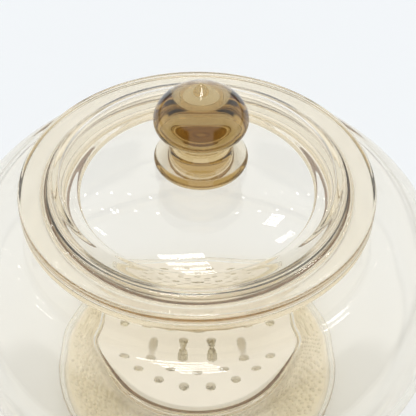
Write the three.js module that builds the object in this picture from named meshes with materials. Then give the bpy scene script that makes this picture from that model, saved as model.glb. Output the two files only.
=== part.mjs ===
// Glass desiccator: a bulbous base vessel with a wide ground flange, a domed lid with a mushroom knob,
// the grease film that seals the two flanges, a perforated porcelain plate and a bed of silica gel.
// Millimetres, +Z up. The origin is the centre of the foot, on the surface that the vessel stands on.
// Every piece is a body of revolution, drawn as a closed outline of radius and height.
import * as THREE from 'three';

// Driving dimensions
const FLANGE_RADIUS = 100;
const FLANGE_THICKNESS = 6;
const WALL = 4.5;
const BULGE_RADIUS = 149.5;
const BULGE_HEIGHT = 130;
const JOINT_HEIGHT = 200;
const GREASE_THICKNESS = 0.3;
const THROAT_RADIUS = 65.5;
const PLATE_RADIUS = 62;
const KNOB_RADIUS = 25.4;
const KNOB_HEIGHT = 52.4;
const KNOB_OFFSET = 2;                           // the knob is fused on by hand, a little off the axis

const UP = Math.PI / 2;                          // heading of an upright stretch of outline

// Base vessel, worked out from the driving dimensions
const BULGE_ARC = 60.5;                          // radius of the arc that rounds the bulge
const BULGE_BORE_ARC = BULGE_ARC - WALL;
const BULGE_CENTRE = BULGE_RADIUS - BULGE_ARC;   // radius at which that arc is centred
const ARC_LOW = THREE.MathUtils.degToRad(-65);   // where the arc turns into the bowl's floor
const ARC_HIGH = THREE.MathUtils.degToRad(50);   // where the arc turns into the shoulder
const EDGE_BREAK = 1;                            // small chamfer on ground and cut edges
const FLANGE_ROUND = 2.5;                        // rounding of the flanges' polished edges
const GROUND_INNER_RADIUS = 81;                  // the ground ring runs from here to the flange edge
const GROUND_OUTER_RADIUS = FLANGE_RADIUS - 1.5;
const FLANGE_UNDERSIDE = JOINT_HEIGHT - FLANGE_THICKNESS;
const LIP_SLOPE = 1.8;                           // the lip inside the ground ring falls by this much
const LIP_THICKNESS = 3.6;
const LIP_TOP = JOINT_HEIGHT - LIP_SLOPE;
const LIP_BOTTOM = LIP_TOP - LIP_THICKNESS;
const LIP_ROUND_RADIUS = THROAT_RADIUS + 5;      // the lip's edge is rounded from here inwards
const NECK_RADIUS = 85;
const NECK_BORE_RADIUS = NECK_RADIUS - WALL;
const NECK_FILLET = 4;
const SHOULDER_HEIGHT = 184.5;                   // outside of the shoulder where it meets the neck
const SHOULDER_CEILING = SHOULDER_HEIGHT - WALL;
const LEDGE_HEIGHT = 68;                         // the plate rests on this step at the waist
const LEDGE_WALL = 2.5;                          // height of the wall around the plate
const LEDGE_OUTER_RADIUS = PLATE_RADIUS + 2.5;
const WAIST_RADIUS = PLATE_RADIUS + 0.5;
const WAIST_BORE_RADIUS = PLATE_RADIUS - 5;
const WAIST_HEIGHT = 59;
const WAIST_CHAMFER = 1.5;
const CHAMBER_RADIUS = 96;
const CHAMBER_BORE_RADIUS = CHAMBER_RADIUS - WALL;
const CHAMBER_WALL_LOW = 24;                     // the chamber's bore is upright up to here
const CHAMBER_WALL_HIGH = CHAMBER_WALL_LOW + 2;  // and its outside up to here
const CHAMBER_BULGE = 20;                        // how fully the chamber's top is rounded
const FLOOR_HEIGHT = 6.5;
const FLOOR_CROWN = 10;                          // the floor is pushed up a little in the middle
const FLOOR_EDGE_RADIUS = 78;
const FOOT_HOLLOW = 5;                           // depth of the hollow under the foot
const FOOT_OUTER_RADIUS = 84;
const FOOT_INNER_RADIUS = 66;
const FOOT_ROUND = 12;

// Lid
const LID_UNDERSIDE = JOINT_HEIGHT + GREASE_THICKNESS;
const LID_FLANGE_TOP = LID_UNDERSIDE + FLANGE_THICKNESS;
const LID_BORE_RADIUS = 80;
const DOME_RISE = 13.6;
const CROWN_RADIUS = 28;                         // flat seat for the knob
const CROWN_HEIGHT = LID_FLANGE_TOP + DOME_RISE;
const DOME_FOOT_RADIUS = 89;                     // where the dome starts to rise from the flange
const DOME_STEEPEST = THREE.MathUtils.degToRad(57);
const DOME_STEEP_RADIUS = 80.5;                  // outside of the dome where it is steepest
const DOME_STEEP_RISE = 5.5;
const DOME_FULLNESS = 24;                        // how far the crown's flat reaches out

// Knob, in heights above its seat on the crown
const KNOB_FOOT_RADIUS = 26;
const KNOB_FOOT_ROUND = 1.5;
const KNOB_FOOT_THICKNESS = 6;
const STEM_RADIUS = 15;
const STEM_RISE = 15;
const CAP_UNDERSIDE_RADIUS = KNOB_RADIUS - 2.5;
const CAP_UNDERSIDE_RISE = 24;
const CAP_EDGE_RISE = 29;
const CAP_POINT = 0.5;                           // slope at which the cap runs into its slight point

// Plate
const PLATE_THICKNESS = 5;
const PLATE_HOLE_RINGS = [
  { ring: 0, count: 1, hole: 6 },
  { ring: 18, count: 6, hole: 3 },
  { ring: 33, count: 12, hole: 3 },
  { ring: 48, count: 18, hole: 3 },
];
const HOLE_SIDES = 10;

// Silica gel, a little higher in the middle, where it was poured in
const BED_GAP = 0.3;
const BED_EDGE_HEIGHT = 28;
const BED_EDGE_WIDTH = 4;
const BED_CROWN = 31;

const TURN_STEPS = 40;                           // flats around each body of revolution

// An outline in the radius-height plane, drawn from the axis, outwards and up, and back to the axis.
class Outline {
  constructor(radius, height) {
    this.points = [new THREE.Vector2(radius, height)];
  }

  get end() {
    return this.points[this.points.length - 1];
  }

  add(curve, steps) {
    this.points.push(...curve.getPoints(steps).slice(1));
    return this;
  }

  line(radius, height) {
    this.points.push(new THREE.Vector2(radius, height));
    return this;
  }

  // A rounded corner that leaves towards the corner point and arrives from it.
  corner(cornerRadius, cornerHeight, radius, height, steps = 2) {
    const corner = new THREE.Vector2(cornerRadius, cornerHeight);
    const end = new THREE.Vector2(radius, height);
    return this.add(new THREE.QuadraticBezierCurve(this.end, corner, end), steps);
  }

  // An S-shaped or C-shaped stretch that leaves along one direction and arrives along another.
  sweep(leave, arrive, radius, height, steps = 4) {
    const end = new THREE.Vector2(radius, height);
    const first = this.end.clone().add(leave);
    const second = end.clone().sub(arrive);
    return this.add(new THREE.CubicBezierCurve(this.end, first, second, end), steps);
  }

  // Part of a circle, turned from one angle to another.
  arc(centreRadius, centreHeight, radius, from, to, steps = 7) {
    const clockwise = to < from;
    const curve = new THREE.EllipseCurve(centreRadius, centreHeight, radius, radius, from, to, clockwise);
    this.line(centreRadius + radius * Math.cos(from), centreHeight + radius * Math.sin(from));
    return this.add(curve, steps);
  }
}

const GLASS = { color: 0xe6dcc0, roughness: 0.05 };
const SOLID_GLASS = { color: 0x8a6433, roughness: 0.05 };
const GREASE = { color: 0xd8cfb4, roughness: 0.3 };
const PORCELAIN = { color: 0xf2f0e8, roughness: 0.2 };
const SILICA_GEL = { color: 0xe9e6dc, roughness: 0.4 };

function named(name, geometry, look) {
  const mesh = new THREE.Mesh(geometry, new THREE.MeshStandardMaterial({ ...look, metalness: 0 }));
  mesh.name = name;
  return mesh;
}

// Turns an outline about the vertical axis into a named mesh.
function turned(name, outline, look) {
  const geometry = new THREE.LatheGeometry(outline.points, TURN_STEPS);
  geometry.rotateX(Math.PI / 2);
  return named(name, geometry, look);
}

// A direction of a given length, at an angle to the horizontal.
function heading(angle, length) {
  return new THREE.Vector2(length * Math.cos(angle), length * Math.sin(angle));
}

// Foot, lower chamber, waist, bulge, shoulder, neck and flange in one blown wall.
function baseVessel() {
  const bulgeMiddle = new THREE.Vector2(BULGE_CENTRE, BULGE_HEIGHT);
  const bowlStart = heading(ARC_LOW, BULGE_ARC).add(bulgeMiddle);
  const outside = new Outline(0, FOOT_HOLLOW)
    .corner(FOOT_INNER_RADIUS / 2, FOOT_HOLLOW, FOOT_INNER_RADIUS, 0, 3)
    .line(FOOT_OUTER_RADIUS, 0)
    .corner(CHAMBER_RADIUS, 0, CHAMBER_RADIUS, FOOT_ROUND)
    .line(CHAMBER_RADIUS, CHAMBER_WALL_HIGH)
    .sweep(heading(UP, CHAMBER_BULGE), heading(UP, CHAMBER_BULGE - 5), WAIST_RADIUS, WAIST_HEIGHT)
    .sweep(heading(UP, 8), heading(ARC_LOW + UP, 24), bowlStart.x, bowlStart.y)
    .arc(BULGE_CENTRE, BULGE_HEIGHT, BULGE_ARC, ARC_LOW, ARC_HIGH)
    .sweep(heading(ARC_HIGH + UP, 18), heading(Math.PI, 14), NECK_RADIUS + 2 * NECK_FILLET, SHOULDER_HEIGHT)
    .corner(NECK_RADIUS, SHOULDER_HEIGHT, NECK_RADIUS, SHOULDER_HEIGHT + NECK_FILLET)
    .line(NECK_RADIUS, FLANGE_UNDERSIDE - NECK_FILLET)
    .corner(NECK_RADIUS, FLANGE_UNDERSIDE, NECK_RADIUS + NECK_FILLET, FLANGE_UNDERSIDE)
    .line(FLANGE_RADIUS - FLANGE_ROUND, FLANGE_UNDERSIDE)
    .corner(FLANGE_RADIUS, FLANGE_UNDERSIDE, FLANGE_RADIUS, FLANGE_UNDERSIDE + FLANGE_ROUND)
    .line(FLANGE_RADIUS, JOINT_HEIGHT - EDGE_BREAK)
    .line(GROUND_OUTER_RADIUS, JOINT_HEIGHT)
    .line(GROUND_INNER_RADIUS, JOINT_HEIGHT);

  const lipMiddle = (LIP_TOP + LIP_BOTTOM) / 2;
  const ledgeTop = LEDGE_HEIGHT + LEDGE_WALL;
  const bowlEnd = heading(ARC_HIGH, BULGE_BORE_ARC).add(bulgeMiddle);
  const down = heading(-UP, CHAMBER_BULGE - 1.5);
  return outside
    .line(LIP_ROUND_RADIUS, LIP_TOP)
    .corner(THROAT_RADIUS, LIP_TOP, THROAT_RADIUS, lipMiddle, 3)
    .corner(THROAT_RADIUS, LIP_BOTTOM, LIP_ROUND_RADIUS, LIP_BOTTOM, 3)
    .corner(NECK_BORE_RADIUS, LIP_BOTTOM, NECK_BORE_RADIUS, LIP_BOTTOM - NECK_FILLET)
    .corner(NECK_BORE_RADIUS, SHOULDER_CEILING, NECK_RADIUS, SHOULDER_CEILING)
    .line(NECK_RADIUS + 2 * NECK_FILLET, SHOULDER_CEILING)
    .sweep(heading(0, 14), heading(ARC_HIGH - UP, 16), bowlEnd.x, bowlEnd.y)
    .arc(BULGE_CENTRE, BULGE_HEIGHT, BULGE_BORE_ARC, ARC_HIGH, ARC_LOW)
    .sweep(heading(ARC_LOW - UP, 22), heading(Math.PI, 12), LEDGE_OUTER_RADIUS + 2, ledgeTop)
    .corner(LEDGE_OUTER_RADIUS, ledgeTop, LEDGE_OUTER_RADIUS, LEDGE_HEIGHT, 1)
    .line(WAIST_BORE_RADIUS + WAIST_CHAMFER, LEDGE_HEIGHT)
    .line(WAIST_BORE_RADIUS, LEDGE_HEIGHT - WAIST_CHAMFER)
    .line(WAIST_BORE_RADIUS, WAIST_HEIGHT)
    .sweep(down, down, CHAMBER_BORE_RADIUS, CHAMBER_WALL_LOW)
    .corner(CHAMBER_BORE_RADIUS, FLOOR_HEIGHT, FLOOR_EDGE_RADIUS, FLOOR_HEIGHT, 3)
    .corner(FLOOR_EDGE_RADIUS / 2, FLOOR_HEIGHT, 0, FLOOR_CROWN, 3);
}

// Flange and low dome of even thickness, open below; the dome rises steeply, then runs flat to the crown.
function lidDome() {
  const offset = heading(-DOME_STEEPEST - UP, WALL);
  const steep = new THREE.Vector2(DOME_STEEP_RADIUS, LID_FLANGE_TOP + DOME_STEEP_RISE);
  const steepBore = steep.clone().add(offset);
  const inwards = heading(Math.PI, DOME_FULLNESS);
  return new Outline(0, CROWN_HEIGHT - WALL)
    .line(CROWN_RADIUS, CROWN_HEIGHT - WALL)
    .sweep(heading(0, DOME_FULLNESS), heading(-DOME_STEEPEST, 4), steepBore.x, steepBore.y, 7)
    .sweep(heading(-DOME_STEEPEST, 3), heading(-UP, 3), LID_BORE_RADIUS, LID_UNDERSIDE + EDGE_BREAK)
    .line(GROUND_INNER_RADIUS, LID_UNDERSIDE)
    .line(GROUND_OUTER_RADIUS, LID_UNDERSIDE)
    .line(FLANGE_RADIUS, LID_UNDERSIDE + EDGE_BREAK)
    .line(FLANGE_RADIUS, LID_FLANGE_TOP - FLANGE_ROUND)
    .corner(FLANGE_RADIUS, LID_FLANGE_TOP, FLANGE_RADIUS - FLANGE_ROUND, LID_FLANGE_TOP)
    .line(DOME_FOOT_RADIUS, LID_FLANGE_TOP)
    .sweep(heading(Math.PI, 5), heading(Math.PI - DOME_STEEPEST, 3), steep.x, steep.y)
    .sweep(heading(Math.PI - DOME_STEEPEST, 4), inwards, CROWN_RADIUS, CROWN_HEIGHT, 7)
    .line(0, CROWN_HEIGHT);
}

// Solid knob: a foot disc, a flared waist and a mushroom cap with a slight point.
function lidKnob() {
  const at = (rise) => CROWN_HEIGHT + rise;
  const footEdge = KNOB_FOOT_RADIUS - KNOB_FOOT_ROUND;
  const bulge = KNOB_FOOT_RADIUS + 1;
  return new Outline(0, at(0))
    .line(footEdge, at(0))
    .corner(bulge, at(KNOB_FOOT_THICKNESS / 2), footEdge, at(KNOB_FOOT_THICKNESS), 3)
    .sweep(heading(Math.PI - 0.4, 7), heading(UP, 4), STEM_RADIUS, at(STEM_RISE))
    .sweep(heading(UP, 5), heading(0.2, 4), CAP_UNDERSIDE_RADIUS, at(CAP_UNDERSIDE_RISE))
    .corner(KNOB_RADIUS, at(CAP_UNDERSIDE_RISE + 1), KNOB_RADIUS, at(CAP_EDGE_RISE))
    .sweep(heading(UP, 10), heading(Math.PI - CAP_POINT, 13), 0, at(KNOB_HEIGHT), 7);
}

// The film of grease between the two ground rings.
function greaseFilm() {
  return new Outline(GROUND_INNER_RADIUS, JOINT_HEIGHT)
    .line(GROUND_OUTER_RADIUS, JOINT_HEIGHT)
    .line(GROUND_OUTER_RADIUS, LID_UNDERSIDE)
    .line(GROUND_INNER_RADIUS, LID_UNDERSIDE)
    .line(GROUND_INNER_RADIUS, JOINT_HEIGHT);
}

// Bed of beads, a little clear of the floor and wall of the lower chamber.
function silicaGelBed() {
  const bottom = FLOOR_HEIGHT + BED_GAP;
  const wall = CHAMBER_BORE_RADIUS - BED_GAP;
  return new Outline(0, FLOOR_CROWN + BED_GAP)
    .corner(FLOOR_EDGE_RADIUS / 2, bottom, FLOOR_EDGE_RADIUS, bottom, 3)
    .corner(wall, bottom, wall, CHAMBER_WALL_LOW, 3)
    .line(wall - BED_EDGE_WIDTH, BED_EDGE_HEIGHT)
    .line(0, BED_CROWN);
}

function circlePoints(radius, sides) {
  const points = [];
  for (let side = 0; side < sides; side += 1) {
    const angle = (2 * Math.PI * side) / sides;
    points.push(new THREE.Vector2(radius * Math.cos(angle), radius * Math.sin(angle)));
  }
  return points;
}

// A flat disc with rings of holes, lying on the ledge at the waist.
function porcelainPlate() {
  const disc = new THREE.Shape(circlePoints(PLATE_RADIUS, TURN_STEPS));
  for (const { ring, count, hole } of PLATE_HOLE_RINGS) {
    for (let index = 0; index < count; index += 1) {
      const centre = heading((2 * Math.PI * index) / count, ring);
      disc.holes.push(new THREE.Path(circlePoints(hole, HOLE_SIDES).map((point) => point.add(centre))));
    }
  }
  const geometry = new THREE.ExtrudeGeometry(disc, { depth: PLATE_THICKNESS, bevelEnabled: false });
  const mesh = named('porcelain_plate', geometry, PORCELAIN);
  mesh.position.z = LEDGE_HEIGHT;
  return mesh;
}

const desiccator = new THREE.Group();
desiccator.add(turned('base_vessel', baseVessel(), GLASS));
desiccator.add(turned('silica_gel_bed', silicaGelBed(), SILICA_GEL));
desiccator.add(porcelainPlate());
desiccator.add(turned('joint_grease_film', greaseFilm(), GREASE));

const lid = new THREE.Group();
lid.add(turned('lid_dome', lidDome(), GLASS));
const knob = turned('lid_knob', lidKnob(), SOLID_GLASS);
knob.position.x = KNOB_OFFSET;
lid.add(knob);
desiccator.add(lid);

export default desiccator;
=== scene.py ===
"""Looks of a glass desiccator: amber vessel and lid, solid knob, grease film, porcelain plate, silica gel.

Every piece of glass is a closed outline of radius and height, turned about the vertical axis.
Metres throughout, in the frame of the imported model; sizes in millimetres are written as a number times MM.
"""
import math

import bpy
import numpy as np
from mathutils import Matrix, Vector


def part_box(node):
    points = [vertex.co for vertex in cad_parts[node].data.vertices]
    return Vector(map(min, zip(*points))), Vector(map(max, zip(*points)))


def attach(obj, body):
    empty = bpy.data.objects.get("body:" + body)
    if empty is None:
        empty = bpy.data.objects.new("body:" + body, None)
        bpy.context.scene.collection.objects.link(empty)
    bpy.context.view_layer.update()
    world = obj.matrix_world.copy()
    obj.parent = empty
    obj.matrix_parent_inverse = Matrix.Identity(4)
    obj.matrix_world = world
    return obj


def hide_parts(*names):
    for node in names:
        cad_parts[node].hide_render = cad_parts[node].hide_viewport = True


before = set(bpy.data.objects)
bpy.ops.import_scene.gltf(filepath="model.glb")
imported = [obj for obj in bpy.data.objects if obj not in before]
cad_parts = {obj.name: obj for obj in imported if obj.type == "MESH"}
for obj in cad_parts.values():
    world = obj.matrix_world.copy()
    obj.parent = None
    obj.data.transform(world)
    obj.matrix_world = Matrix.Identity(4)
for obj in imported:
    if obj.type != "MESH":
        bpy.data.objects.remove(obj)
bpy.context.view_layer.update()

MM = 0.001
UP = math.pi / 2                    # heading of an upright stretch of outline


# ---------------------------------------------------------------- sizes

def top_of(node):
    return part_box(node)[1].z


def bottom_of(node):
    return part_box(node)[0].z


def radius_of(node):
    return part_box(node)[1].x


# From the frame
BULGE_RADIUS = radius_of("base_vessel")
JOINT = top_of("base_vessel")
FLANGE_RADIUS = radius_of("lid_dome")
GROUND_OUTER = radius_of("joint_grease_film")
LID_BASE = bottom_of("lid_dome")
CROWN = top_of("lid_dome")
KNOB_TOP = top_of("lid_knob")
KNOB_X = (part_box("lid_knob")[0].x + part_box("lid_knob")[1].x) / 2
PLATE_RADIUS = radius_of("porcelain_plate")
PLATE_BASE = bottom_of("porcelain_plate")
PLATE_TOP = top_of("porcelain_plate")
BED_RADIUS = radius_of("silica_gel_bed")
BED_TOP = top_of("silica_gel_bed")
BED_BASE = bottom_of("silica_gel_bed")

# Shared by the vessel and the lid
WALL = 4.5 * MM
FLANGE_THICKNESS = 6 * MM
FLANGE_ROUND = 2.5 * MM             # rounding of the flanges' polished edges
GROUND_INNER = 81 * MM              # the ground ring runs from here nearly to the flange's edge
LID_FLANGE_TOP = LID_BASE + FLANGE_THICKNESS

# Vessel, from the foot up
VESSEL_PITCH = 2.6 * MM             # spacing of the points along its outline
FOOT_HOLLOW = 5 * MM
FOOT_INNER = 66 * MM
FOOT_OUTER = 84 * MM
FOOT_ROUND = 12 * MM
FLOOR = 6.5 * MM
FLOOR_CROWN = 10 * MM               # the floor is pushed up a little in the middle
FLOOR_EDGE = 78 * MM
CHAMBER = 96 * MM
CHAMBER_BORE = CHAMBER - WALL
CHAMBER_WALL_LOW = 24 * MM          # the bore is upright up to here
CHAMBER_WALL_HIGH = 26 * MM         # and the outside up to here
CHAMBER_BULGE = 20 * MM             # how fully the chamber's top is rounded
WAIST = PLATE_RADIUS + 0.5 * MM
WAIST_BORE = PLATE_RADIUS - 5 * MM
WAIST_HEIGHT = 59 * MM
WAIST_CHAMFER = 1.5 * MM
LEDGE = PLATE_BASE - 0.1 * MM       # a hair under the plate that rests on it
LEDGE_OUTER = PLATE_RADIUS + 2.5 * MM
LEDGE_WALL_TOP = PLATE_BASE + 2.5 * MM
BULGE_ARC = 60.5 * MM               # radius of the arc that rounds the bulge
BULGE_MIDDLE = np.array([BULGE_RADIUS - BULGE_ARC, JOINT - 70 * MM])
ARC_LOW = math.radians(-65)         # where the arc turns into the bowl's floor
ARC_HIGH = math.radians(50)         # where the arc turns into the shoulder
SHOULDER = JOINT - 15.5 * MM
CEILING = SHOULDER - WALL
NECK = 85 * MM
NECK_BORE = NECK - WALL
NECK_FILLET = 4 * MM
EDGE_BREAK = 0.9 * MM
THROAT = PLATE_RADIUS + 3.5 * MM
LIP_ROUND = THROAT + 5 * MM         # the lip's edge is rounded from here inwards
LIP_SLOPE = 0.25                    # the lip falls away from the ground ring by this angle
LIP_TOP = JOINT - 1.8 * MM
LIP_BOTTOM = LIP_TOP - 3.6 * MM

# Lid
LID_PITCH = 0.7 * MM
LID_BORE = 80 * MM
LID_EDGE_BREAK = 1 * MM
CROWN_RADIUS = 28 * MM              # flat seat for the knob
DOME_FOOT = 89 * MM                 # where the dome starts to rise from the flange
DOME_STEEPEST = math.radians(57)
DOME_STEEP = 80.5 * MM              # outside of the dome where it is steepest
DOME_STEEP_BORE = 76.7 * MM
DOME_STEEP_RISE = 5.5 * MM
DOME_STEEP_BORE_RISE = 3.1 * MM
DOME_FULLNESS = 24 * MM             # how far the crown's flat reaches out

# Knob, in heights above its seat
KNOB_PITCH = 0.5 * MM
KNOB_GAP = 0.15 * MM                # keeps the knob's seat and the crown from sharing one face
KNOB_RADIUS = 25.4 * MM
KNOB_FOOT = 26 * MM
KNOB_FOOT_ROUND = 1.5 * MM
KNOB_FOOT_THICKNESS = 6 * MM
STEM = 15 * MM
STEM_RISE = 15 * MM
CAP_UNDERSIDE = KNOB_RADIUS - 2.5 * MM
CAP_UNDERSIDE_RISE = 24 * MM
CAP_EDGE_RISE = 29 * MM
CAP_POINT = 0.5                     # slope at which the cap runs into its slight point

# Grease, plate and silica gel
FILM_GAP = 0.03 * MM                # keeps the film and the ground rings from sharing a face
PLATE_ROLL = 0.8 * MM               # rounding of the plate's rim and of its holes
HOLE_RINGS = ((0, 1, 6), (18, 6, 3), (33, 12, 3), (48, 18, 3))    # ring radius, holes, hole radius, all mm
BED_EDGE = 28 * MM
BED_EDGE_WIDTH = 4 * MM
BED_WALL = 22 * MM
BEAD_RADIUS = 2.2 * MM
BEADS = 1500
GOLDEN_ANGLE = math.pi * (3 - math.sqrt(5))

# Bench, room, lamps and camera
BENCH_COLOUR = (0.90, 0.93, 0.955)
ROOM_COLOUR = (1.0, 1.0, 1.0)
ROOM_LIGHT = 1.11
ROOM_DARK = 0.05
LAMP_DISTANCE = 3.0
LAMP_COLOUR = (1.0, 0.99, 0.96)
LAMP_LIGHT = 18.0
CAMERA_ELEVATION = math.radians(42.8)
CAMERA_PITCH = math.radians(1.76)
CAMERA_YAW = math.radians(0.62)
CAMERA_DISTANCE = 5.5 * FLANGE_RADIUS
BOUNCES = 40                        # light is mirrored many times inside thick glass


# ---------------------------------------------------------------- outlines and turned surfaces

def heading(angle, length):
    """A direction of the given length, at an angle above the horizontal."""
    return np.array([math.cos(angle), math.sin(angle)]) * length


class Outline:
    """A curve in the radius-height plane, drawn from the axis outwards, up and back to the axis."""

    def __init__(self, radius, height, pitch=1.0 * MM):
        self.points = [np.array([[radius, height]])]
        self.pitch = pitch

    @property
    def end(self):
        return self.points[-1][-1]

    def _add(self, curve, length, least=8):
        t = np.linspace(0, 1, max(least, int(length / self.pitch)) + 1)[1:, None]
        self.points.append(curve(t))
        return self

    def line(self, radius, height):
        """Straight: start plus t times the way to the end."""
        a, b = self.end, np.array([radius, height])
        return self._add(lambda t: a + t * (b - a), np.linalg.norm(b - a), least=1)

    def corner(self, corner_radius, corner_height, radius, height):
        """Quadratic Bezier: leaves towards the corner point and arrives from it."""
        a, c, b = self.end, np.array([corner_radius, corner_height]), np.array([radius, height])
        length = np.linalg.norm(c - a) + np.linalg.norm(b - c)
        return self._add(lambda t: (1 - t) ** 2 * a + 2 * t * (1 - t) * c + t ** 2 * b, length)

    def sweep(self, leave, arrive, radius, height):
        """Cubic Bezier: leaves along one direction and arrives along another.

        The length of each direction says how far the curve keeps to it.
        """
        a, b = self.end, np.array([radius, height])
        c, d = a + leave, b - arrive
        length = np.linalg.norm(b - a) * 1.2
        return self._add(lambda t: ((1 - t) ** 3 * a + 3 * t * (1 - t) ** 2 * c
                                    + 3 * t ** 2 * (1 - t) * d + t ** 3 * b), length)

    def arc(self, centre, radius, start, stop):
        """Circle: centre plus the radius turned from the start angle to the stop angle."""
        def curve(t):
            angle = start + t * (stop - start)
            return centre + radius * np.hstack([np.cos(angle), np.sin(angle)])
        return self._add(curve, radius * abs(stop - start))

    def array(self):
        return np.vstack(self.points)


def new_mesh(name, points, faces):
    """An object of its own, smooth all over, with the points and faces given."""
    mesh = bpy.data.meshes.new(name)
    mesh.from_pydata(points, [], faces)
    mesh.polygons.foreach_set("use_smooth", np.ones(len(mesh.polygons), bool))
    mesh.update()
    piece = bpy.data.objects.new(name, mesh)
    bpy.context.scene.collection.objects.link(piece)
    return piece


def turned_surface(outline, centre_x=0.0, turns=240):
    """Points and faces of a turned outline: x = radius cos(angle), y = radius sin(angle), z = height.

    Points on the axis become one pole each; an outline that keeps off the axis closes on itself.
    """
    profile = outline.array()
    closed = profile[0][0] > 0
    ring_rows = profile if closed else profile[1:-1]
    rows = len(ring_rows)
    angle = np.linspace(0, 2 * math.pi, turns, endpoint=False)
    radius = np.repeat(ring_rows[:, :1], turns, 1)
    height = np.repeat(ring_rows[:, 1:], turns, 1)
    points = np.stack([centre_x + radius * np.cos(angle), radius * np.sin(angle), height], -1)
    points = points.reshape(-1, 3)
    row, column = np.meshgrid(np.arange(rows if closed else rows - 1), np.arange(turns), indexing="ij")
    after = (column + 1) % turns
    here, above = row * turns, ((row + 1) % rows) * turns
    quads = np.stack([here + column, here + after, above + after, above + column], -1).reshape(-1, 4)
    faces = quads.tolist()
    if not closed:
        pole = len(points)
        points = np.vstack([points, [centre_x, 0, profile[0][1]], [centre_x, 0, profile[-1][1]]])
        first, last = np.arange(turns), (rows - 1) * turns + np.arange(turns)
        faces += np.stack([np.full(turns, pole), np.roll(first, -1), first], -1).tolist()
        faces += np.stack([np.full(turns, pole + 1), last, np.roll(last, -1)], -1).tolist()
    return points, faces


def turned(name, outline, **how):
    return new_mesh(name, *turned_surface(outline, **how))


# ---------------------------------------------------------------- pieces

def vessel_outside():
    """Foot, lower chamber, waist, bulge, shoulder, neck and flange, up to the ground ring."""
    underside = JOINT - FLANGE_THICKNESS
    wall = Outline(0, FOOT_HOLLOW, VESSEL_PITCH)
    wall.corner(FOOT_INNER / 2, FOOT_HOLLOW, FOOT_INNER, 0)
    wall.line(FOOT_OUTER, 0)
    wall.corner(CHAMBER, 0, CHAMBER, FOOT_ROUND)
    wall.line(CHAMBER, CHAMBER_WALL_HIGH)
    wall.sweep(heading(UP, CHAMBER_BULGE), heading(UP, CHAMBER_BULGE - 5 * MM), WAIST, WAIST_HEIGHT)
    bowl = BULGE_MIDDLE + heading(ARC_LOW, BULGE_ARC)
    wall.sweep(heading(UP, 8 * MM), heading(ARC_LOW + UP, 24 * MM), *bowl)
    wall.arc(BULGE_MIDDLE, BULGE_ARC, ARC_LOW, ARC_HIGH)
    inwards = heading(math.pi, 14 * MM)
    wall.sweep(heading(ARC_HIGH + UP, 18 * MM), inwards, NECK + 2 * NECK_FILLET, SHOULDER)
    wall.corner(NECK, SHOULDER - 0.5 * MM, NECK, SHOULDER + NECK_FILLET)
    wall.line(NECK, underside - NECK_FILLET)
    wall.corner(NECK, underside, NECK + NECK_FILLET + 1 * MM, underside)
    wall.line(FLANGE_RADIUS - FLANGE_ROUND, underside)
    wall.corner(FLANGE_RADIUS, underside, FLANGE_RADIUS, underside + FLANGE_ROUND)
    wall.line(FLANGE_RADIUS, JOINT - EDGE_BREAK)
    wall.corner(FLANGE_RADIUS, JOINT, GROUND_OUTER, JOINT)
    wall.line(GROUND_INNER, JOINT)
    return wall


def vessel_outline():
    """The outside, then the lip, neck, bulge, ledge, waist, lower chamber and floor inside."""
    wall = vessel_outside()
    lip_middle = (LIP_TOP + LIP_BOTTOM) / 2
    bulge_bore = BULGE_ARC - WALL
    wall.sweep(heading(math.pi, 4 * MM), heading(math.pi + LIP_SLOPE, 4 * MM), LIP_ROUND, LIP_TOP)
    wall.corner(THROAT, LIP_TOP - 0.6 * MM, THROAT, lip_middle)
    wall.corner(THROAT, LIP_BOTTOM + 0.2 * MM, LIP_ROUND, LIP_BOTTOM)
    wall.corner(NECK_BORE, LIP_BOTTOM - 1.1 * MM, NECK_BORE, JOINT - 13 * MM)
    wall.line(NECK_BORE, CEILING + NECK_FILLET)
    wall.corner(NECK_BORE, CEILING, NECK, CEILING)
    wall.line(NECK + 10 * MM, CEILING)
    bulge_top = BULGE_MIDDLE + heading(ARC_HIGH, bulge_bore)
    wall.sweep(heading(0, 14 * MM), heading(ARC_HIGH - UP, 16 * MM), *bulge_top)
    wall.arc(BULGE_MIDDLE, bulge_bore, ARC_HIGH, ARC_LOW)
    inwards = heading(math.pi, 12 * MM)
    wall.sweep(heading(ARC_LOW - UP, 22 * MM), inwards, LEDGE_OUTER + 2 * MM, LEDGE_WALL_TOP)
    wall.corner(LEDGE_OUTER, LEDGE_WALL_TOP, LEDGE_OUTER, PLATE_BASE + 1 * MM)
    wall.corner(LEDGE_OUTER, PLATE_BASE, LEDGE_OUTER - 1 * MM, LEDGE)
    wall.line(WAIST_BORE + WAIST_CHAMFER, LEDGE)
    wall.corner(WAIST_BORE, PLATE_BASE, WAIST_BORE, PLATE_BASE - WAIST_CHAMFER)
    wall.line(WAIST_BORE, WAIST_HEIGHT)
    arrive = heading(-UP, CHAMBER_BULGE - 3 * MM)
    wall.sweep(heading(-UP, CHAMBER_BULGE), arrive, CHAMBER_BORE, CHAMBER_WALL_LOW)
    wall.corner(CHAMBER_BORE, FLOOR, FLOOR_EDGE, FLOOR)
    wall.corner(FLOOR_EDGE / 2, FLOOR, 0, FLOOR_CROWN)
    return wall


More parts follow.
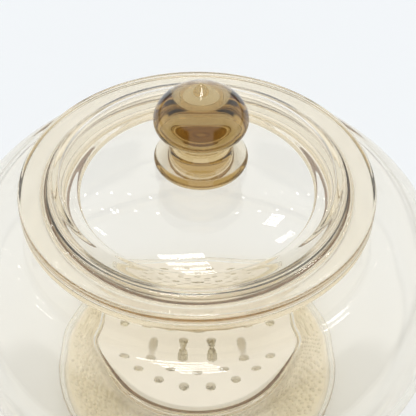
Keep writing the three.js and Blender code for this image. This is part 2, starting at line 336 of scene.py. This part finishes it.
def lid_outline():
    """Underside of the dome, ground ring, flange edge, and the top back to the axis."""
    wall = Outline(0, CROWN - WALL, LID_PITCH)
    wall.line(CROWN_RADIUS, CROWN - WALL)
    down = heading(-DOME_STEEPEST, 4 * MM)
    steep_bore = LID_FLANGE_TOP + DOME_STEEP_BORE_RISE
    wall.sweep(heading(0, DOME_FULLNESS), down, DOME_STEEP_BORE, steep_bore)
    down = heading(-DOME_STEEPEST, 3 * MM)
    wall.sweep(down, heading(-UP, 3 * MM), LID_BORE, LID_BASE + 2 * LID_EDGE_BREAK)
    wall.line(LID_BORE, LID_BASE + LID_EDGE_BREAK)
    wall.corner(LID_BORE, LID_BASE, GROUND_INNER, LID_BASE)
    wall.line(GROUND_OUTER, LID_BASE)
    wall.corner(FLANGE_RADIUS, LID_BASE, FLANGE_RADIUS, LID_BASE + LID_EDGE_BREAK)
    wall.line(FLANGE_RADIUS, LID_FLANGE_TOP - FLANGE_ROUND)
    wall.corner(FLANGE_RADIUS, LID_FLANGE_TOP, FLANGE_RADIUS - FLANGE_ROUND, LID_FLANGE_TOP)
    wall.line(DOME_FOOT, LID_FLANGE_TOP)
    rise = math.pi - DOME_STEEPEST
    wall.sweep(heading(math.pi, 5 * MM), heading(rise, 3 * MM), DOME_STEEP, LID_FLANGE_TOP + DOME_STEEP_RISE)
    wall.sweep(heading(rise, 4 * MM), heading(math.pi, DOME_FULLNESS), CROWN_RADIUS, CROWN)
    wall.line(0, CROWN)
    return wall


def knob_outline():
    """Foot disc, flared waist and mushroom cap with a slight point."""
    seat = CROWN + KNOB_GAP
    foot_edge = KNOB_FOOT - KNOB_FOOT_ROUND
    foot_top = seat + KNOB_FOOT_THICKNESS
    solid = Outline(0, seat, KNOB_PITCH)
    solid.line(foot_edge, seat)
    solid.corner(KNOB_FOOT + 1 * MM, seat + KNOB_FOOT_THICKNESS / 2, foot_edge, foot_top)
    solid.sweep(heading(math.pi - 0.4, 7 * MM), heading(UP, 4 * MM), STEM, seat + STEM_RISE)
    solid.sweep(heading(UP, 5 * MM), heading(0.2, 4 * MM), CAP_UNDERSIDE, seat + CAP_UNDERSIDE_RISE)
    solid.corner(KNOB_RADIUS, seat + CAP_UNDERSIDE_RISE + 1 * MM, KNOB_RADIUS, seat + CAP_EDGE_RISE)
    solid.sweep(heading(UP, 10 * MM), heading(math.pi - CAP_POINT, 13 * MM), 0, KNOB_TOP)
    return solid


def film_outline():
    """The grease film, a hair clear of both ground rings."""
    low, high = JOINT + FILM_GAP, LID_BASE - FILM_GAP
    film = Outline(GROUND_INNER, low)
    film.line(GROUND_OUTER, low)
    film.line(GROUND_OUTER, high)
    film.line(GROUND_INNER, high)
    return film


def bed_outline():
    """Floor, wall and heaped top of the bed, a bead's depth under the heap that the beads make."""
    bed = Outline(0, BED_BASE + FLOOR_CROWN - FLOOR)
    bed.corner(FLOOR_EDGE / 2, BED_BASE, FLOOR_EDGE, BED_BASE)
    bed.corner(BED_RADIUS, BED_BASE, BED_RADIUS, BED_WALL)
    bed.line(BED_RADIUS - BED_EDGE_WIDTH, BED_EDGE - BEAD_RADIUS)
    bed.line(0, BED_TOP - 1.6 * BEAD_RADIUS)
    return bed


def bead():
    """Points and triangles of one small ball: an octahedron halved once and pushed out to the unit sphere."""
    points = [(1, 0, 0), (-1, 0, 0), (0, 1, 0), (0, -1, 0), (0, 0, 1), (0, 0, -1)]
    faces = []
    middles = {}

    def middle(i, j):
        key = (min(i, j), max(i, j))
        if key not in middles:
            middles[key] = len(points)
            half = np.array(points[i]) + np.array(points[j])
            points.append(tuple(half / np.linalg.norm(half)))
        return middles[key]

    upper = ((0, 2, 4), (2, 1, 4), (1, 3, 4), (3, 0, 4))
    lower = ((2, 0, 5), (1, 2, 5), (3, 1, 5), (0, 3, 5))
    for i, j, k in upper + lower:
        ij, jk, ki = middle(i, j), middle(j, k), middle(k, i)
        faces += [(i, ij, ki), (ij, j, jk), (ki, jk, k), (ij, jk, ki)]
    return np.array(points, float), np.array(faces)


def spread_beads():
    """Points and triangles of a layer of beads spread over the bed at the golden angle.

    Bead number i of n lies at radius R sqrt(i/n) and angle i times 137.5 degrees, with a little scatter,
    and on the cone from the bed's top to its edge, sunk by up to half a bead.
    """
    rng = np.random.default_rng(7)
    index = np.arange(BEADS)
    reach = BED_RADIUS - BED_EDGE_WIDTH - BEAD_RADIUS
    radius = reach * np.sqrt((index + 0.5) / BEADS) + rng.normal(0, 0.35 * MM, BEADS)
    radius = np.clip(radius, 0, reach)
    angle = index * GOLDEN_ANGLE + rng.normal(0, 0.004, BEADS)
    size = BEAD_RADIUS * rng.uniform(0.78, 1.0, BEADS)
    cone = BED_TOP + (BED_EDGE - BED_TOP) * radius / reach
    height = cone - BEAD_RADIUS - rng.uniform(0, 0.5, BEADS) * BEAD_RADIUS
    centre = np.stack([radius * np.cos(angle), radius * np.sin(angle), height], -1)
    unit, faces = bead()
    points = centre[:, None, :] + size[:, None, None] * unit
    triangles = index[:, None, None] * len(unit) + faces
    return points.reshape(-1, 3), triangles.reshape(-1, 3)


def silica_gel():
    """The bed and its loose beads in one piece."""
    bed_points, bed_faces = turned_surface(bed_outline(), turns=96)
    bead_points, bead_faces = spread_beads()
    faces = bed_faces + (bead_faces + len(bed_points)).tolist()
    return new_mesh("gel_heap", np.vstack([bed_points, bead_points]), faces)


def ring_curve(curve, radius, centre, sides):
    """Adds a closed polygon to a flat curve: its corners lie on a circle, equally spaced."""
    spline = curve.splines.new("POLY")
    spline.points.add(sides - 1)
    angle = np.linspace(0, 2 * math.pi, sides, endpoint=False)
    across, along = centre[0] + radius * np.cos(angle), centre[1] + radius * np.sin(angle)
    spline.points.foreach_set("co", np.stack([across, along, 0 * angle, 0 * angle + 1], -1).ravel())
    spline.use_cyclic_u = True


def porcelain_plate():
    """A disc with rings of holes: a flat outline with holes, given thickness and rolled edges."""
    curve = bpy.data.curves.new("plate_outline", "CURVE")
    curve.dimensions = "2D"
    curve.fill_mode = "BOTH"
    curve.bevel_depth = PLATE_ROLL
    curve.bevel_resolution = 3
    curve.extrude = (PLATE_TOP - PLATE_BASE) / 2 - PLATE_ROLL
    ring_curve(curve, PLATE_RADIUS - PLATE_ROLL, centre=(0, 0), sides=144)
    for ring, count, hole in HOLE_RINGS:
        for index in range(count):
            centre = heading(2 * math.pi * index / count, ring * MM)
            ring_curve(curve, hole * MM + PLATE_ROLL, centre, sides=28)
    flat = bpy.data.objects.new("plate_outline", curve)
    bpy.context.scene.collection.objects.link(flat)
    bpy.context.view_layer.update()
    mesh = bpy.data.meshes.new_from_object(flat.evaluated_get(bpy.context.evaluated_depsgraph_get()))
    mesh.transform(Matrix.Translation((0, 0, (PLATE_TOP + PLATE_BASE) / 2)))
    bpy.data.objects.remove(flat)
    piece = bpy.data.objects.new("glazed_plate", mesh)
    bpy.context.scene.collection.objects.link(piece)
    return piece


# ---------------------------------------------------------------- node helpers

def link(tree, value, socket):
    """Puts a number or another node's output on a socket."""
    if isinstance(value, (int, float)):
        socket.default_value = value
    else:
        tree.links.new(value, socket)


def maths(tree, operation, *values):
    node = tree.nodes.new("ShaderNodeMath")
    node.operation = operation
    for value, socket in zip(values, node.inputs):
        link(tree, value, socket)
    return node.outputs[0]


def between(tree, value, low, high, to_low=0.0, to_high=1.0):
    """A smooth step of the value from low to high."""
    node = tree.nodes.new("ShaderNodeMapRange")
    node.interpolation_type = "SMOOTHSTEP"
    node.inputs["To Min"].default_value = to_low
    node.inputs["To Max"].default_value = to_high
    for label, number in (("Value", value), ("From Min", low), ("From Max", high)):
        link(tree, number, node.inputs[label])
    return node.outputs["Result"]


def noise(tree, vector, scale, detail=2.0):
    node = tree.nodes.new("ShaderNodeTexNoise")
    node.inputs["Detail"].default_value = detail
    link(tree, vector, node.inputs["Vector"])
    link(tree, scale, node.inputs["Scale"])
    return node.outputs["Fac"]


def mix_colours(tree, factor, first, second):
    """The first colour where the factor is nought and the second where it is one."""
    node = tree.nodes.new("ShaderNodeMix")
    node.data_type = "RGBA"
    tree.links.new(factor, node.inputs["Factor"])
    node.inputs["A"].default_value = (*first, 1)
    node.inputs["B"].default_value = (*second, 1)
    return node.outputs["Result"]


def split(tree, vector):
    """X, Y and Z of a vector."""
    node = tree.nodes.new("ShaderNodeSeparateXYZ")
    tree.links.new(vector, node.inputs[0])
    return node.outputs


def radius_from(tree, x, y):
    """Distance from the axis."""
    squares = [maths(tree, "MULTIPLY", side, side) for side in (x, y)]
    return maths(tree, "SQRT", maths(tree, "ADD", *squares))


def combine(tree, *values):
    node = tree.nodes.new("ShaderNodeCombineXYZ")
    for value, socket in zip(values, node.inputs):
        link(tree, value, socket)
    return node.outputs[0]


# ---------------------------------------------------------------- groups that several materials share

def new_group(name, inputs, outputs):
    """A node group with a Vector input, the named numbers in and the named numbers out."""
    group = bpy.data.node_groups.new(name, "ShaderNodeTree")
    group.interface.new_socket("Vector", in_out="INPUT", socket_type="NodeSocketVector")
    for label, value in inputs.items():
        socket = group.interface.new_socket(label, in_out="INPUT", socket_type="NodeSocketFloat")
        socket.default_value = value
    for label in outputs:
        group.interface.new_socket(label, in_out="OUTPUT", socket_type="NodeSocketFloat")
    given = group.nodes.new("NodeGroupInput").outputs
    result = group.nodes.new("NodeGroupOutput").inputs
    return group, given, result


def tooling_group():
    """Height of the faint rings that tooling leaves in turned glass, and of the slow waves of blown glass.

    The rings are noise that changes fast with radius and height and slowly around the axis.
    """
    inputs = {"Ring Scale": 400.0, "Wave Scale": 14.0, "Waves": 0.5}
    group, given, result = new_group("tooling_rings", inputs, ["Height"])
    x, y, z = split(group, given["Vector"])
    radius = radius_from(group, x, y)
    off_axis = maths(group, "MAXIMUM", radius, 1 * MM)
    around = [maths(group, "MULTIPLY", maths(group, "DIVIDE", side, off_axis), 0.6) for side in (x, y)]
    across = maths(group, "MULTIPLY", maths(group, "ADD", radius, z), given["Ring Scale"])
    rings = noise(group, combine(group, *around, across), 1.0, 3.0)
    waves = noise(group, given["Vector"], given["Wave Scale"], 1.0)
    height = maths(group, "MULTIPLY_ADD", waves, given["Waves"], rings)
    group.links.new(height, result["Height"])
    return group


def handling_group():
    """Where fingers and cloths have left the surface less clear: large soft patches broken by small ones."""
    inputs = {"Patch Scale": 18.0, "Amount": 0.03}
    group, given, result = new_group("handling_marks", inputs, ["Roughness"])
    large = between(group, noise(group, given["Vector"], given["Patch Scale"], 3.0), 0.5, 0.72)
    fine_scale = maths(group, "MULTIPLY", given["Patch Scale"], 9.0)
    small = between(group, noise(group, given["Vector"], fine_scale, 2.0), 0.35, 0.7, to_low=0.4)
    mask = maths(group, "MULTIPLY", large, small)
    group.links.new(maths(group, "MULTIPLY", mask, given["Amount"]), result["Roughness"])
    return group


def ground_group():
    """One on the ground joint faces and nought elsewhere: close to the joint's height and inside its ring."""
    inputs = {"Joint Height": JOINT, "Inner": GROUND_INNER}
    group, given, result = new_group("ground_face", inputs, ["Mask"])
    x, y, z = split(group, given["Vector"])
    off = maths(group, "ABSOLUTE", maths(group, "SUBTRACT", z, given["Joint Height"]))
    level = between(group, off, 0.4 * MM, 0.6 * MM, to_low=1.0, to_high=0.0)
    start = maths(group, "SUBTRACT", given["Inner"], 0.5 * MM)
    outside = between(group, radius_from(group, x, y), start, given["Inner"])
    group.links.new(maths(group, "MULTIPLY", level, outside), result["Mask"])
    return group


def painted_rim_shade_group():
    """One on the painted dark ring, painted shade, at the film's inner edge beside the lid's bore, whose
    width wanders around the ring.
    """
    inputs = {"Edge Radius": GROUND_INNER, "Width": 1.5 * MM}
    group, given, result = new_group("painted_rim_shade", inputs, ["Mask"])
    x, y = split(group, given["Vector"])[:2]
    wander = between(group, noise(group, given["Vector"], 14.0, 1.0), 0.3, 0.7, to_low=0.5, to_high=1.5)
    reach = maths(group, "MULTIPLY", given["Width"], wander)
    inwards = maths(group, "SUBTRACT", radius_from(group, x, y), given["Edge Radius"])
    past = maths(group, "DIVIDE", inwards, reach)
    group.links.new(between(group, past, 0.6, 1.2, to_low=1.0, to_high=0.0), result["Mask"])
    return group


TOOLING = tooling_group()
HANDLING = handling_group()
GROUND = ground_group()
PAINTED_RIM_SHADE = painted_rim_shade_group()


def use(tree, group, **numbers):
    """The group's node in a material, fed with Object coordinates."""
    node = tree.nodes.new("ShaderNodeGroup")
    node.node_tree = group
    where = tree.nodes.new("ShaderNodeTexCoord")
    tree.links.new(where.outputs["Object"], node.inputs["Vector"])
    for label, number in numbers.items():
        node.inputs[label.replace("_", " ")].default_value = number
    return node.outputs


# ---------------------------------------------------------------- materials

def new_material(name):
    """A material, its node tree and its Principled shader."""
    material = bpy.data.materials.new(name)
    material.use_nodes = True
    tree = material.node_tree
    return material, tree, tree.nodes["Principled BSDF"]


def bump(tree, shader, height, strength, distance):
    node = tree.nodes.new("ShaderNodeBump")
    node.inputs["Strength"].default_value = strength
    node.inputs["Distance"].default_value = distance
    tree.links.new(height, node.inputs["Height"])
    tree.links.new(node.outputs["Normal"], shader.inputs["Normal"])


def let_light_through(tree, shader, output):
    """Light on its way to a diffuse surface goes straight through, so that the bench is lit evenly."""
    path = tree.nodes.new("ShaderNodeLightPath")
    straight = maths(tree, "MAXIMUM", path.outputs["Is Shadow Ray"], path.outputs["Is Diffuse Ray"])
    clear = tree.nodes.new("ShaderNodeBsdfTransparent")
    mixed = tree.nodes.new("ShaderNodeMixShader")
    tree.links.new(straight, mixed.inputs["Fac"])
    tree.links.new(shader.outputs["BSDF"], mixed.inputs[1])
    tree.links.new(clear.outputs["BSDF"], mixed.inputs[2])
    tree.links.new(mixed.outputs["Shader"], output.inputs["Surface"])


def glass(name, tint, density, ior, waviness, ring_scale, joint_roughness=0.0):
    """Clear coloured glass: the tint comes from absorption, so thick places are darker."""
    material, tree, shader = new_material(name)
    output = tree.nodes["Material Output"]
    shader.inputs["Base Color"].default_value = (1, 1, 1, 1)
    shader.inputs["IOR"].default_value = ior
    shader.inputs["Transmission Weight"].default_value = 1.0
    marks = use(tree, HANDLING, Amount=0.02)
    face = use(tree, GROUND)
    rough = maths(tree, "MULTIPLY_ADD", face["Mask"], joint_roughness, marks["Roughness"])
    tree.links.new(rough, shader.inputs["Roughness"])
    tooled = use(tree, TOOLING, Ring_Scale=ring_scale)
    bump(tree, shader, tooled["Height"], 1.0, waviness)
    let_light_through(tree, shader, output)
    absorb = tree.nodes.new("ShaderNodeVolumeAbsorption")
    absorb.inputs["Color"].default_value = (*tint, 1)
    absorb.inputs["Density"].default_value = density
    tree.links.new(absorb.outputs["Volume"], output.inputs["Volume"])
    return material


def mottled(name, colour, shade, roughness, scale):
    """Opaque and slightly mottled: noise moves the colour between two shades."""
    material, tree, shader = new_material(name)
    where = tree.nodes.new("ShaderNodeTexCoord")
    mottle = noise(tree, where.outputs["Object"], scale, 3.0)
    darker = [part * shade for part in colour]
    mixed = mix_colours(tree, between(tree, mottle, 0.3, 0.7), colour, darker)
    tree.links.new(mixed, shader.inputs["Base Color"])
    marks = use(tree, HANDLING, Amount=0.08)
    tree.links.new(maths(tree, "ADD", marks["Roughness"], roughness), shader.inputs["Roughness"])
    bump(tree, shader, mottle, 0.3, 0.05 * MM)
    return material, shader


def amber_glass():
    return glass("amber_glass", tint=(0.80, 0.68, 0.38), density=28.0, ior=1.50, waviness=0.015 * MM,
                 ring_scale=260.0, joint_roughness=0.12)


def solid_amber_glass():
    return glass("solid_amber_glass", tint=(0.66, 0.50, 0.10), density=42.0, ior=1.52, waviness=0.01 * MM,
                 ring_scale=200.0)


def joint_grease():
    """Clear grease with a near-black ring of painted shade along its inner edge."""
    material = glass("joint_grease", tint=(0.80, 0.70, 0.45), density=30.0, ior=1.47, waviness=0.02 * MM,
                     ring_scale=900.0)
    tree = material.node_tree
    edge = use(tree, PAINTED_RIM_SHADE)["Mask"]
    # painted shade: the film's inner edge turns near-black and stands in for the dark rim beside the lid's
    # bore
    mixed = mix_colours(tree, edge, (1, 1, 1), (0.02, 0.022, 0.03))
    tree.links.new(mixed, tree.nodes["Principled BSDF"].inputs["Base Color"])
    return material


def glazed_porcelain():
    ivory = (0.88, 0.83, 0.72)
    material, shader = mottled("glazed_porcelain", ivory, shade=0.97, roughness=0.12, scale=60.0)
    shader.inputs["Coat Weight"].default_value = 0.6
    shader.inputs["Coat Roughness"].default_value = 0.05
    return material


def silica_gel_look():
    pale = (0.98, 0.94, 0.83)
    material, shader = mottled("silica_gel", pale, shade=0.95, roughness=0.25, scale=220.0)
    shader.inputs["Subsurface Weight"].default_value = 0.3
    shader.inputs["Subsurface Radius"].default_value = (4 * MM, 4 * MM, 4 * MM)
    return material


# ---------------------------------------------------------------- the desiccator

def place(piece, material, body, node):
    """Gives a piece its material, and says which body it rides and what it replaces."""
    piece.data.materials.clear()
    piece.data.materials.append(material)
    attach(piece, body)
    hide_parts(node)


def desiccator():
    thin = amber_glass()
    place(turned("blown_vessel", vessel_outline()), thin, "vessel", "base_vessel")
    place(turned("pressed_lid", lid_outline()), thin, "lid", "lid_dome")
    knob = turned("solid_knob", knob_outline(), centre_x=KNOB_X, turns=160)
    place(knob, solid_amber_glass(), "lid", "lid_knob")
    place(turned("grease_ring", film_outline()), joint_grease(), "seal", "joint_grease_film")
    place(porcelain_plate(), glazed_porcelain(), "plate", "porcelain_plate")
    place(silica_gel(), silica_gel_look(), "vessel", "silica_gel_bed")


# ---------------------------------------------------------------- bench, room, lamps, camera and settings

def bench():
    """A pale sheet that runs well back and stops a little in front of the desiccator."""
    near, far, half = -0.5, 3.0, 3.0
    points = [(-half, near, 0), (half, near, 0), (half, far, 0), (-half, far, 0)]
    piece = new_mesh("bench_sheet", points, [(0, 1, 2, 3)])
    material, _, shader = new_material("bench_sheet")
    shader.inputs["Base Color"].default_value = (*BENCH_COLOUR, 1)
    shader.inputs["Roughness"].default_value = 0.9
    piece.data.materials.append(material)
    piece.location.z = -0.5 * MM


def room():
    """White all round, but for two dark corners behind the camera and a dark belt at the horizon's sides."""
    world = bpy.data.worlds.new("room")
    bpy.context.scene.world = world
    world.use_nodes = True
    tree = world.node_tree
    where = tree.nodes.new("ShaderNodeTexCoord")
    x, y, z = split(tree, where.outputs["Generated"])
    aside = between(tree, maths(tree, "ABSOLUTE", x), 0.38, 0.50)
    behind = between(tree, maths(tree, "MULTIPLY", y, -1.0), 0.05, 0.25)
    low = between(tree, z, 0.55, 0.70, to_low=1.0, to_high=0.0)
    corners = maths(tree, "MULTIPLY", maths(tree, "MULTIPLY", behind, aside), low)
    from_horizon = maths(tree, "ABSOLUTE", maths(tree, "SUBTRACT", z, -0.02))
    belt = maths(tree, "MULTIPLY", between(tree, from_horizon, 0.05, 0.12, to_low=0.8, to_high=0.0), aside)
    dark = maths(tree, "MAXIMUM", corners, belt)
    light = maths(tree, "MULTIPLY_ADD", dark, ROOM_DARK - ROOM_LIGHT, ROOM_LIGHT)
    background = tree.nodes["Background"]
    background.inputs["Color"].default_value = (*ROOM_COLOUR, 1)
    tree.links.new(light, background.inputs["Strength"])


def lamp_grid(turn, rise, columns, rows, step, drop, wide, tall):
    """Corners of a grid of small panes on a far sphere around the lid, each facing the lid.

    turn and rise are the grid's middle, from the back towards the right and above the horizon; step and
    drop part its columns and rows, and wide and tall are one pane's size. All of them are degrees.
    """
    column, row = np.meshgrid(np.arange(columns) - (columns - 1) / 2, np.arange(rows) - (rows - 1) / 2)
    column, row = column.reshape(-1, 1), row.reshape(-1, 1)
    turn, rise, step, drop, wide, tall = np.radians([turn, rise, step, drop, wide, tall])
    out = np.array([np.sin(turn) * np.cos(rise), np.cos(turn) * np.cos(rise), np.sin(rise)])
    side = np.array([np.cos(turn), -np.sin(turn), 0])
    over = np.cross(side, out)
    middle = out + column * step * side + row * drop * over
    signs = ((-1, -1), (-1, 1), (1, 1), (1, -1))
    corners = [middle + (a * wide * side + b * tall * over) / 2 for a, b in signs]
    return np.stack(corners, 1) * LAMP_DISTANCE + np.array([0, 0, LID_FLANGE_TOP])


def lamps():
    """Small ceiling lamps; only glass and glaze mirror them."""
    grids = [
        lamp_grid(turn=-12, rise=84, columns=12, rows=5, step=0.9, drop=6.0, wide=0.6, tall=3.0),
        lamp_grid(turn=-41, rise=56, columns=2, rows=4, step=1.0, drop=1.0, wide=0.6, tall=0.6),
        lamp_grid(turn=-24, rise=52, columns=2, rows=2, step=1.0, drop=1.0, wide=0.5, tall=0.5),
        lamp_grid(turn=25, rise=55, columns=4, rows=4, step=0.9, drop=1.0, wide=0.6, tall=0.7),
        lamp_grid(turn=41, rise=59, columns=4, rows=6, step=0.9, drop=0.9, wide=0.6, tall=0.6),
        lamp_grid(turn=0, rise=54, columns=22, rows=1, step=4.0, drop=1.0, wide=0.5, tall=0.5),
        lamp_grid(turn=0, rise=49, columns=22, rows=1, step=4.0, drop=1.0, wide=0.5, tall=0.5),
    ]
    panes = np.vstack(grids)
    faces = np.arange(len(panes) * 4).reshape(-1, 4)
    piece = new_mesh("ceiling_lamps", panes.reshape(-1, 3), faces.tolist())
    material, _, shader = new_material("ceiling_lamps")
    shader.inputs["Base Color"].default_value = (0, 0, 0, 1)
    shader.inputs["Emission Color"].default_value = (*LAMP_COLOUR, 1)
    shader.inputs["Emission Strength"].default_value = LAMP_LIGHT
    piece.data.materials.append(material)
    piece.visible_diffuse = False
    piece.visible_transmission = False
    piece.visible_shadow = False


def camera():
    """Stands at a distance and elevation from the middle of the lid's flange, and aims a little below it."""
    back = Vector((0, -math.cos(CAMERA_ELEVATION), math.sin(CAMERA_ELEVATION)))
    data = bpy.data.cameras.new("camera")
    data.sensor_width = 36
    data.lens = 85
    data.clip_start = 0.01
    view = bpy.data.objects.new("camera", data)
    bpy.context.scene.collection.objects.link(view)
    view.location = Vector((0, 0, LID_FLANGE_TOP)) + back * CAMERA_DISTANCE
    aim = (-back).to_track_quat("-Z", "Y").to_matrix()
    turn = Matrix.Rotation(-CAMERA_YAW, 3, "Y") @ Matrix.Rotation(-CAMERA_PITCH, 3, "X")
    view.rotation_euler = (aim @ turn).to_euler()
    bpy.context.scene.camera = view


def render_settings():
    scene = bpy.context.scene
    scene.view_settings.view_transform = "Standard"
    scene.cycles.max_bounces = BOUNCES
    scene.cycles.glossy_bounces = BOUNCES
    scene.cycles.transmission_bounces = BOUNCES
    scene.cycles.transparent_max_bounces = BOUNCES


desiccator()
bench()
room()
lamps()
camera()
render_settings()
